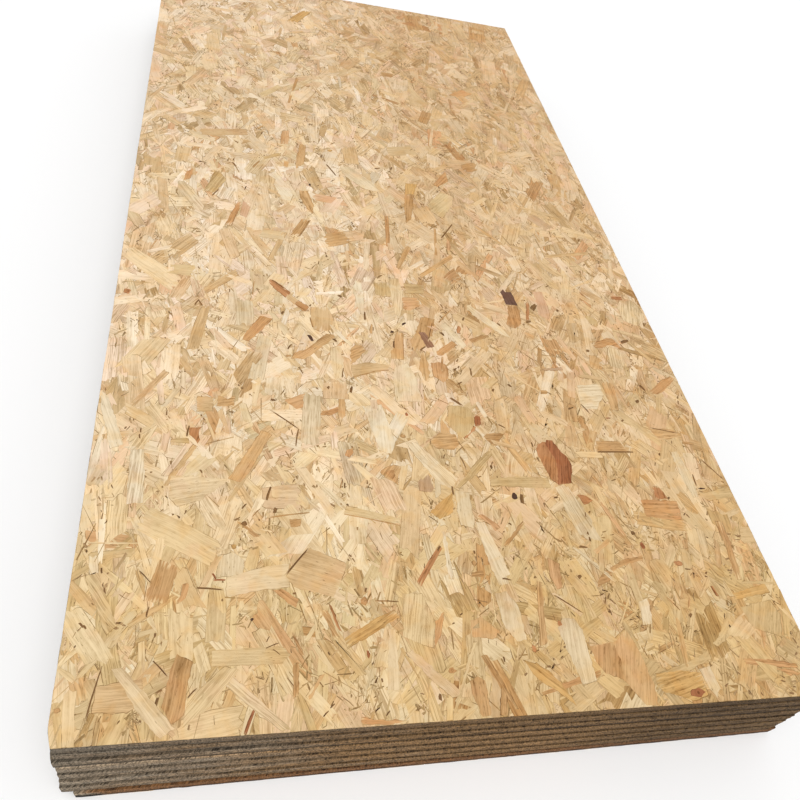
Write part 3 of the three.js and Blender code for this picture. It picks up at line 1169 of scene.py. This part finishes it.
    ("clay", 36, ((1131, 655), (1150, 650), (1170, 660), (1216, 700), (1205, 706), (1180, 695),
                  (1150, 670))),
    ("honey", 84, ((1024, 675), (1035, 682), (1050, 670), (1046, 640), (1038, 600), (1020, 600),
                   (1024, 640))),
    ("dun", 4, ((889, 708), (892, 703), (905, 704), (938, 707), (938, 715), (915, 713))),
    ("cream", 75, ((1150, 930), (1165, 950), (1200, 955), (1214, 930), (1214, 890), (1180, 865),
                  (1150, 880))),
    ("cream", 80, ((1070, 775), (1080, 790), (1100, 780), (1105, 740), (1090, 720), (1062, 728))),
    ("pale", 5, ((960, 665), (1015, 672), (1015, 640), (985, 600), (950, 600))),
    ("tan", -4, ((970, 695), (1000, 697), (1030, 692), (1025, 682), (995, 685), (972, 688))),
    ("russet", -46, ((308, 930), (316, 928), (340, 905), (352, 890), (340, 875), (315, 902), (306, 920))),
    ("tan", -46, ((340, 880), (352, 888), (366, 868), (358, 855), (345, 868))),
    ("clay", -42, ((360, 865), (368, 868), (390, 850), (386, 845), (380, 838), (374, 840), (360, 855))),
    ("clay", 57, ((250, 745), (256, 764), (286, 815), (312, 808), (300, 790), (262, 740))),
    ("honey", 40, ((345, 700), (352, 716), (380, 730), (420, 775), (435, 772), (438, 765), (395, 722),
                   (372, 700))),
    ("honey", 32, ((468, 735), (478, 745), (492, 748), (500, 732), (478, 705), (465, 692), (465, 712))),
    ("tan", 12, ((465, 690), (500, 700), (548, 695), (540, 682), (510, 672), (485, 665), (470, 655),
                 (464, 672))),
    ("tan", 84, ((392, 850), (430, 855), (440, 820), (430, 785), (410, 780), (395, 785), (390, 810))),
    ("white", -54, ((428, 805), (436, 800), (475, 745), (468, 742), (440, 775))),
    ("white", 88, ((490, 920), (500, 948), (512, 940), (512, 880), (508, 840), (498, 840))),
    ("cream", 86, ((425, 735), (445, 742), (450, 700), (445, 655), (430, 650), (424, 690))),
    ("peach", 86, ((405, 640), (450, 645), (452, 600), (400, 600))),
    ("moss", 68, ((184, 1313), (200, 1304), (212, 1276), (184, 1220), (161, 1225), (175, 1276))),
    ("olive", 50, ((721, 1267), (772, 1332), (800, 1313), (791, 1276), (753, 1211), (725, 1239))),
    ("pale", -50, ((502, 1396), (532, 1394), (585, 1332), (599, 1299), (583, 1299), (555, 1304),
                   (506, 1360))),
    ("gold", 76, ((674, 1351), (707, 1351), (690, 1304), (665, 1299))),
    ("brown", 80, ((665, 1299), (690, 1304), (679, 1248), (667, 1197), (651, 1178), (655, 1239))),
    ("honey", 82, ((401, 1477), (417, 1474), (408, 1388), (385, 1360), (389, 1416))),
    ("white", -62, ((310, 1323), (333, 1339), (352, 1299), (373, 1253), (366, 1220), (347, 1220),
                    (326, 1281), (331, 1304))),
    ("pale", -60, ((100, 1253), (114, 1253), (135, 1229), (163, 1164), (158, 1141), (140, 1155),
                   (100, 1220))),
    ("honey", -76, ((389, 1267), (410, 1267), (422, 1211), (417, 1178), (403, 1197), (389, 1239))),
    ("clay", 78, ((119, 1295), (133, 1313), (128, 1267), (112, 1257))),
    ("rose", 80, ((252, 1201), (268, 1178), (259, 1136), (245, 1145))),
    ("clay", 70, ((240, 1197), (249, 1192), (226, 1103), (210, 1103), (226, 1155))),
    ("clay", 54, ((753, 1360), (800, 1430), (800, 1383), (763, 1351))),
    ("bone", -40, ((366, 1449), (392, 1430), (385, 1397), (361, 1407))),
)
# Plain strands: across, along, length, width, degrees, colour
NOTED = (
    (375, 550, 120, 35, 85, "pale"), (315, 378, 60, 48, 5, "peach"), (150, 305, 130, 45, -30, "straw"),
    (860, 350, 120, 30, -75, "bone"), (672, 265, 120, 20, -80, "bone"), (165, 770, 120, 22, 80, "tan"),
    (255, 822, 72, 38, 90, "pale"), (285, 700, 120, 30, 80, "pale"),
    (385, 1120, 70, 22, 65, "brown"), (468, 1090, 55, 45, 20, "honey"),
    (328, 1045, 110, 12, 70, "tan"), (205, 910, 95, 18, 45, "tan"),
    (222, 1040, 100, 25, -75, "peach"), (62, 938, 140, 45, -42, "cream"), (122, 937, 50, 35, 0, "olive"),
    (598, 1140, 120, 10, 85, "clay"), (326, 1405, 48, 12, 32, "moss"), (360, 1375, 26, 12, 80, "honey"),
    (703, 1022, 125, 12, 42, "honey"), (625, 1045, 95, 12, 65, "honey"), (755, 1162, 72, 4, 57, "umber"),
    (717, 1115, 105, 6, 82, "brown"), (1070, 1112, 135, 12, 13, "tan"), (772, 1075, 80, 12, -70, "tan"),
    (1160, 960, 30, 12, 0, "russet"),
    (440, 2250, 110, 30, 60, "gold"), (850, 2350, 110, 60, 90, "brown"), (1090, 2345, 100, 60, 80, "brown"),
    (1175, 1990, 120, 30, 65, "honey"), (1072, 2070, 150, 50, 80, "peach"), (700, 1935, 40, 24, 0, "brown"),
    (935, 1880, 60, 34, 40, "clay"), (125, 1755, 105, 25, 65, "peach"), (330, 1735, 90, 20, 50, "olive"),
    (395, 1755, 150, 8, 78, "brown"), (362, 1500, 65, 20, 85, "orange"), (205, 1490, 120, 28, 12, "tan"),
    (535, 1450, 80, 40, 90, "tan"), (550, 1350, 110, 28, -45, "cream"),
    (785, 1705, 70, 30, 70, "brown"), (880, 1465, 50, 36, 30, "brown"),
)
# Thin darker slivers: across, along, length, width, degrees, colour
SLIVERS = (
    (583, 752, 76, 2.5, 83, "brown"), (563, 755, 22, 4, 82, "umber"), (661, 706, 42, 5, 78, "brown"),
    (693, 852, 56, 3, 50, "brown"), (1023, 655, 50, 3, 88, "brown"), (915, 785, 60, 4, 95, "clay"),
    (327, 913, 42, 3, -43, "umber"), (490, 667, 50, 3, 20, "brown"), (522, 678, 42, 3, 10, "brown"),
    (392, 805, 30, 4, 100, "brown"), (273, 900, 45, 2.5, 85, "brown"), (1128, 809, 22, 8, 20, "umber"),
    (650, 798, 60, 2.5, 72, "umber"), (625, 748, 20, 4, 42, "umber"), (796, 822, 26, 5, -40, "tan"),
    (335, 257, 62, 3, 50, "umber"), (557, 248, 84, 10, 54, "russet"), (578, 278, 12, 5, 54, "umber"),
    (258, 16, 34, 4.5, 68, "rust"), (990, 490, 80, 4, 1, "umber"), (983, 515, 50, 3, -1, "brown"),
    (1125, 549, 62, 3, -10, "umber"), (1170, 517, 26, 7, -8, "brown"), (1198, 452, 62, 3, -58, "umber"),
    (468, 334, 98, 2, -13, "brown"), (325, 546, 65, 2.5, -40, "umber"), (347, 505, 40, 2.5, 80, "umber"),
    (155, 513, 24, 3, 82, "umber"), (200, 214, 40, 2.5, -6, "umber"), (214, 228, 18, 3, 0, "rust"),
    (206, 234, 12, 3, -65, "rust"), (788, 172, 54, 2.5, -38, "umber"), (672, 605, 30, 5, -42, "umber"),
    (1081, 188, 20, 6, 100, "russet"), (325, 343, 72, 2.5, 8, "brown"), (293, 385, 28, 4, 74, "umber"),
    (625, 395, 18, 3.5, 88, "umber"), (757, 378, 20, 7, 80, "umber"), (925, 418, 28, 6, -66, "brown"),
    (958, 600, 28, 3, -62, "umber"), (51, 66, 76, 2.0, 80, "umber"), (1145, 425, 28, 3, 84, "umber"),
    (477, 1372, 50, 4, -65, "umber"), (187, 1222, 30, 3, 62, "umber"), (285, 1360, 36, 5, 62, "brown"),
)
# Knots: across, along, length, width, colour
KNOTS = (
    (970, 16, 26, 14, "rust"), (1031, 243, 18, 11, "russet"), (970, 279, 9, 13, "rust"),
    (8, 47, 9, 6, "brown"), (22, 860, 14, 14, "russet"),
    (252, 327, 10, 8, "umber"), (235, 285, 9, 8, "gold"), (435, 103, 5, 12, "rust"),
    (762, 139, 8, 8, "russet"), (705, 99, 8, 11, "russet"), (960, 306, 8, 8, "umber"),
    (563, 568, 6, 9, "rust"), (438, 187, 12, 13, "clay"), (563, 72, 12, 9, "clay"),
    (636, 250, 8, 10, "brown"), (712, 448, 5, 9, "umber"), (743, 383, 11, 14, "black"),
    (1152, 405, 15, 4, "black"), (548, 515, 11, 9, "brown"), (480, 1463, 13, 10, "gold"),
)
# Short dark gaps and specks, a gap's dark partly painted shade: across, along, length, width, degrees,
# colour
MARKS = (
    (736, 847, 12, 4, 60, "umber"), (721, 688, 20, 3, 82, "umber"), (690, 655, 14, 3, 35, "umber"),
    (755, 870, 13, 7, -50, "brown"), (819, 837, 10, 5, -50, "umber"), (605, 870, 12, 8, 50, "clay"),
    (875, 641, 16, 10, 0, "brown"), (896, 853, 12, 7, 10, "umber"), (982, 898, 8, 5, 60, "umber"),
    (1036, 721, 9, 8, 0, "brown"), (1092, 627, 10, 7, 30, "umber"), (1067, 618, 14, 6, 70, "brown"),
    (1119, 667, 20, 6, -60, "umber"), (928, 605, 18, 10, -20, "brown"), (1020, 771, 8, 7, 0, "umber"),
    (1055, 836, 9, 8, 0, "brown"), (446, 668, 25, 2.5, 80, "umber"), (459, 625, 16, 5, 75, "umber"),
    (414, 628, 7, 5, 60, "umber"), (509, 835, 24, 4, 85, "umber"), (519, 797, 28, 6, 80, "brown"),
    (459, 892, 9, 6, -40, "umber"), (437, 757, 10, 5, -50, "umber"), (343, 732, 16, 3, 60, "umber"),
    (340, 706, 10, 5, 0, "brown"), (677, 795, 12, 5, -60, "umber"), (687, 693, 10, 4, 40, "umber"),
    (696, 700, 8, 3, 60, "umber"), (800, 655, 9, 5, -50, "umber"), (760, 640, 9, 5, 60, "umber"),
    (923, 904, 24, 12, 52, "umber"), (387, 759, 18, 7, -66, "black"), (594, 819, 11, 5, 35, "black"),
    (564, 792, 7, 6, 0, "black"), (332, 828, 10, 5, 62, "umber"), (245, 214, 4, 4, 0, "umber"),
    (158, 842, 20, 3, 65, "umber"), (165, 842, 18, 3, 115, "umber"), (263, 163, 5, 4, 30, "black"),
    (104, 236, 26, 1.6, -48, "umber"), (135, 96, 30, 1.8, -48, "umber"), (180, 60, 17, 1.8, 46, "umber"),
    (252, 360, 12, 2.5, 50, "umber"), (271, 347, 20, 1.8, 50, "brown"), (375, 31, 9, 2, 38, "umber"),
    (365, 21, 11, 2, 42, "umber"), (440, 22, 9, 2, 35, "umber"), (455, 16, 9, 2, 45, "umber"),
    (468, 24, 9, 2, 45, "umber"), (480, 18, 8, 2, 50, "umber"), (76, 512, 10, 2.5, 88, "umber"),
    (75, 499, 9, 2.5, 95, "umber"), (306, 591, 9, 5, -10, "umber"), (303, 352, 6, 10, 0, "umber"),
    (868, 294, 9, 4, 85, "umber"), (868, 306, 6, 4, 80, "umber"), (850, 278, 16, 4, -8, "umber"),
    (825, 221, 8, 6, 30, "umber"), (856, 187, 11, 2, 20, "umber"), (860, 178, 12, 2, 70, "umber"),
    (868, 184, 12, 2.5, 60, "umber"), (872, 174, 12, 2, -50, "umber"), (864, 194, 10, 2, -20, "umber"),
    (875, 192, 9, 2, 15, "umber"), (1191, 214, 4, 4, 0, "black"), (1191, 222, 12, 1.2, 90, "umber"),
    (757, 546, 15, 3, -34, "umber"), (688, 219, 16, 3, -12, "umber"), (475, 186, 38, 2, -4, "brown"),
    (537, 34, 9, 5, 80, "umber"), (540, 26, 5, 3, 0, "umber"), (925, 600, 14, 4, 20, "umber"),
    (925, 604, 12, 3, 100, "umber"), (1090, 487, 7, 4, 60, "umber"), (1093, 342, 9, 3, -60, "umber"),
    (1088, 346, 8, 2, 40, "umber"), (1047, 402, 5, 3, 30, "umber"), (1057, 392, 5, 3, 0, "umber"),
    (1068, 382, 6, 4, 30, "umber"), (876, 345, 10, 2.5, 80, "umber"), (886, 350, 6, 3, 45, "umber"),
    (1080, 223, 6, 3, 40, "umber"), (1076, 216, 5, 3, -20, "umber"), (987, 168, 32, 1.8, -56, "brown"),
    (1013, 145, 8, 5, 40, "umber"), (1020, 168, 22, 3, 62, "brown"), (292, 122, 20, 1.4, 20, "umber"),
    (298, 112, 14, 1.4, -40, "umber"), (286, 132, 9, 1.4, 60, "umber"), (112, 180, 16, 2.5, 80, "umber"),
    (23, 163, 9, 3, -50, "umber"), (28, 160, 7, 3, -50, "umber"), (720, 325, 6, 3, -50, "umber"),
    (420, 405, 16, 2.5, 75, "brown"), (1004, 577, 10, 3, 0, "rust"), (1036, 572, 7, 4, 30, "umber"),
    (658, 455, 30, 2.5, -78, "umber"), (751, 450, 34, 3, 75, "brown"), (180, 428, 8, 3, -60, "umber"),
    (417, 1296, 9, 5, 80, "black"), (627, 1326, 9, 7, 0, "brown"), (230, 1348, 20, 4, -60, "umber"),
    (644, 1412, 15, 4, 70, "umber"), (604, 1404, 15, 4, 20, "umber"),
)

# How high these lie over the face's plane in millimetres, so that each one covers those before it
NOTED_LEVEL, NOTED_STEP = 0.32, 0.0005
CUT_OUT_LEVEL, CUT_OUT_STEP = 0.35, 0.0003
SLIVER_LEVEL, SLIVER_STEP = 0.40, 0.0005
KNOT_LEVEL = 0.43
MARK_LEVEL = 0.45

NOTED_TONE_SPREAD = 0.05
CORNER_STEP = 6.0  # millimetres between the points along a cut-out outline
CORNER_SPREAD = 0.7  # millimetres
KNOT_POINTS = 14
KNOT_SPREAD = 0.14


def roughen(corners):
    """More points along an outline in millimetres, a little out of line, and anticlockwise."""
    if double_area(corners) < 0.0:
        corners = corners[::-1]
    points = []
    for a, b in sides_of(corners):
        steps = max(1, round(np.linalg.norm(b - a) / CORNER_STEP))
        share = np.arange(steps)[:, None] / steps
        points.append(a + (b - a) * share + rng.normal(0.0, CORNER_SPREAD, (steps, 2)))
    return np.concatenate(points)


def add_noted(face, place, degrees, outline, level, tint, knot=0.0):
    """Adds a strand that lies level. Its place and level are in millimetres, but not its outline."""
    centre = face.corner + np.array(place) * MM
    face.add("top_face_noted", centre, math.radians(degrees), outline, level * MM, LEVEL, tint, knot)


def lay_noted(face):
    for order, (x, y, length, width, degrees, tint) in enumerate(NOTED):
        outline = strand_outline(length * MM / 2, width * MM / 2, end_points=3 + width // 7,
                                 skew=rng.normal(0.0, 0.3), tear=min(0.16 * width, 5.0) * MM,
                                 taper=rng.normal(0.0, 0.15))
        level = NOTED_LEVEL + NOTED_STEP * order
        tone = rng.normal(1.0, NOTED_TONE_SPREAD)
        add_noted(face, (x, y), degrees, outline, level, TINTS[tint] * tone)


def lay_cut_outs(face):
    for order, (tint, degrees, corners) in enumerate(CUT_OUT):
        outline = roughen(np.array(corners, dtype=float))
        middle = outline.mean(axis=0)
        local = (outline - middle) @ turn_matrix(-math.radians(degrees))
        level = CUT_OUT_LEVEL + CUT_OUT_STEP * order
        add_noted(face, middle, degrees, local * MM, level, TINTS[tint])


def lay_slivers(face):
    for order, (x, y, length, width, degrees, tint) in enumerate(SLIVERS):
        outline = strand_outline(length * MM / 2, width * MM / 2, end_points=3, skew=0.4,
                                 tear=0.12 * width * MM, taper=0.25, bend=0.6 * MM)
        add_noted(face, (x, y), degrees, outline, SLIVER_LEVEL + SLIVER_STEP * order, TINTS[tint])


def lay_knots(face):
    around = np.linspace(0.0, 2.0 * math.pi, KNOT_POINTS, endpoint=False)
    for x, y, length, width, tint in KNOTS:
        uneven = rng.normal(1.0, KNOT_SPREAD, KNOT_POINTS)
        outline = np.column_stack([np.cos(around) * length * uneven, np.sin(around) * width * uneven])
        add_noted(face, (x, y), 0.0, outline * MM / 2, KNOT_LEVEL, TINTS[tint], knot=1.0)


def lay_marks(face):
    for x, y, length, width, degrees, tint in MARKS:
        outline = strand_outline(length * MM / 2, width * MM / 2, end_points=3, skew=0.3,
                                 tear=0.3 * MM, taper=0.4, bend=0.5 * MM)
        add_noted(face, (x, y), degrees, outline, MARK_LEVEL, TINTS[tint])


# ---------------------------------------------------------------- the two outer faces


def build_top_face():
    """Ground and chips, then narrow and wide strands, then what lies on top of them."""
    face = Face(TOP_SHEET, 1.0)
    scatter(face, "top_face_ground", 2600, length=(70.0, 140.0), width=(24.0, 60.0),
            levels=(-0.34, -0.16), tear=4.0)
    scatter(face, "top_face_chips", 5200, length=(10.0, 55.0), width=(2.5, 10.0),
            levels=(-0.14, 0.16), tear=1.5, taper=0.6, own=0.5)
    scatter(face, "top_face_narrow_strands", 2600, length=(50.0, 140.0), width=(9.0, 20.0),
            levels=(-0.16, 0.22), tear=4.0, taper=0.3)
    scatter(face, "top_face_wide_strands", 2000, length=(60.0, 140.0), width=(20.0, 48.0),
            levels=(-0.16, 0.24), tear=6.0)
    lay_noted(face)
    lay_cut_outs(face)
    lay_slivers(face)
    lay_knots(face)
    lay_marks(face)
    face.drop_hidden()
    scatter(face, "top_face_splinters", 4200, length=(14.0, 80.0), width=(0.8, 3.4),
            levels=(-0.10, 0.24), tear=1.5, taper=0.6, own=0.4)
    lay_crumbs(face, 420)
    lay_gaps(face, 600)
    lay_slits(face, 350)
    face.build()


def build_underside():
    face = Face(BOTTOM_SHEET, -1.0)
    scatter(face, "underside_strands", 1500, length=(70.0, 150.0), width=(20.0, 52.0),
            levels=(-0.20, 0.20), tear=3.0)
    face.drop_hidden()
    face.build()


build_top_face()
build_underside()

# ---------------------------------------------------------------- studio

FLOOR_REACH = 30.0
FLOOR_LEVEL = -0.001
SUN_STRENGTH = 1.68 * STUDIO_LIGHT
SUN_ANGLE = math.radians(60.0)
SUN_AIM = Vector((0.15, 0.42, -1.0))
FILL_STRENGTH = 0.5 * STUDIO_LIGHT

# The camera looks down on the near left corner. Its place is measured from the near left corner
# of the top sheet's upper face, and its principal point is given in the photograph's pixels.
CAMERA_FROM_CORNER = np.array([184.1, -275.7, 1055.0]) * MM
CAMERA_YAW, CAMERA_PITCH, CAMERA_ROLL = (math.radians(a) for a in (21.27, 48.85, 18.51))
PICTURE_SIDE = 800.0
FOCAL_PIXELS = 721.0
PRINCIPAL_POINT = (383.3, 407.4)
SENSOR_WIDTH_MM = 36.0


def build_floor():
    sides = [(-1, -1), (1, -1), (1, 1), (-1, 1)]
    corners = [(x * FLOOR_REACH, y * FLOOR_REACH, FLOOR_LEVEL) for x, y in sides]
    floor = make_mesh("studio_floor", corners, [(0, 1, 2, 3)], [floor_material()])


def build_light():
    """A broad soft key from above the near side, and an even fill from all round."""
    data = bpy.data.lights.new("key", "SUN")
    data.energy = SUN_STRENGTH
    data.angle = SUN_ANGLE
    lamp = bpy.data.objects.new("key", data)
    bpy.context.scene.collection.objects.link(lamp)
    lamp.rotation_euler = SUN_AIM.to_track_quat("-Z", "Y").to_euler()
    world = bpy.data.worlds.new("studio_world")
    world.use_nodes = True
    background = world.node_tree.nodes["Background"]
    background.inputs["Color"].default_value = (1.0, 1.0, 1.0, 1.0)
    background.inputs["Strength"].default_value = FILL_STRENGTH
    bpy.context.scene.world = world
    bpy.context.scene.view_settings.view_transform = "Standard"


def camera_axes():
    """The camera's right, up and backward directions."""
    level = math.cos(CAMERA_PITCH)
    ahead = Vector((math.sin(CAMERA_YAW) * level, math.cos(CAMERA_YAW) * level, -math.sin(CAMERA_PITCH)))
    level_right = Vector((math.cos(CAMERA_YAW), -math.sin(CAMERA_YAW), 0.0))
    level_up = level_right.cross(ahead)
    right = level_right * math.cos(CAMERA_ROLL) + level_up * math.sin(CAMERA_ROLL)
    return right, right.cross(ahead), -ahead


def build_camera():
    data = bpy.data.cameras.new("camera")
    data.sensor_width = SENSOR_WIDTH_MM
    data.lens = FOCAL_PIXELS / PICTURE_SIDE * SENSOR_WIDTH_MM
    data.shift_x = 0.5 - PRINCIPAL_POINT[0] / PICTURE_SIDE
    data.shift_y = PRINCIPAL_POINT[1] / PICTURE_SIDE - 0.5
    camera = bpy.data.objects.new("camera", data)
    bpy.context.scene.collection.objects.link(camera)
    low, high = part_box(TOP_SHEET)
    corner = np.array([low[0], low[1], high[2]])
    camera.location = corner + CAMERA_FROM_CORNER
    camera.rotation_euler = Matrix(camera_axes()).transposed().to_euler()
    bpy.context.scene.camera = camera


build_floor()
build_light()
build_camera()
